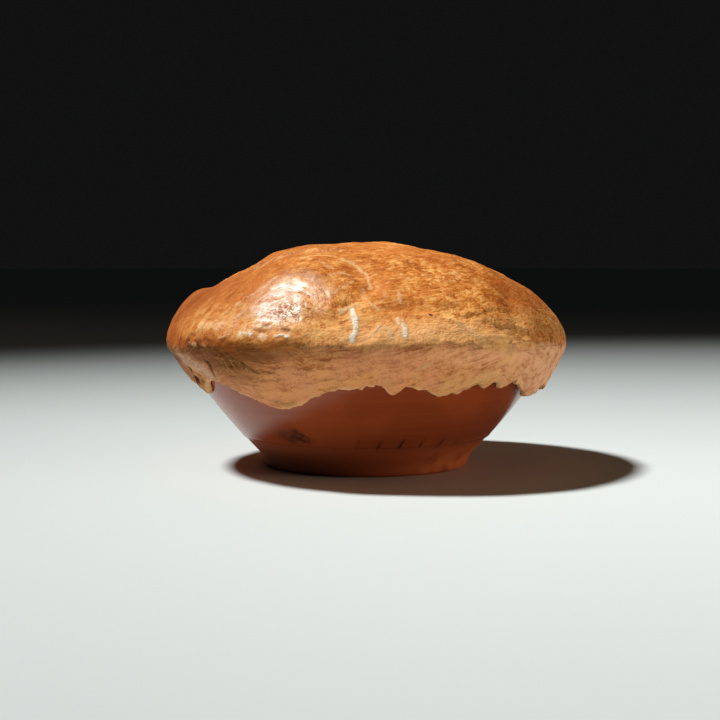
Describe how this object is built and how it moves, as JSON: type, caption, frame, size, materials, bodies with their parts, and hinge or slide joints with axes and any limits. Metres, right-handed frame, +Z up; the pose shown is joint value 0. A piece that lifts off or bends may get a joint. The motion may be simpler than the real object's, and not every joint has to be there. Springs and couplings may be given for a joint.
{
  "type": "pot pie",
  "caption": "Samsa baked as a pot pie: a puffed golden pastry dome over a round clay bowl, its torn edge draped over the rim and stuck to the wall.",
  "frame": {"origin": "centre of the bowl's flat foot, on the surface it stands on", "axes": "+Z up along the bowl's axis, -Y towards the side that the picture shows"},
  "size_m": [0.17, 0.17, 0.0948],
  "materials": {
    "clay": "satin reddish-brown fired clay with faint throwing lines",
    "crust": "baked pastry, golden and egg-washed on the dome, matt and tan on the skirt"
  },
  "bodies": {
    "root": {"clay_bowl": "clay", "pastry_lid": "crust"}
  },
  "joints": []
}
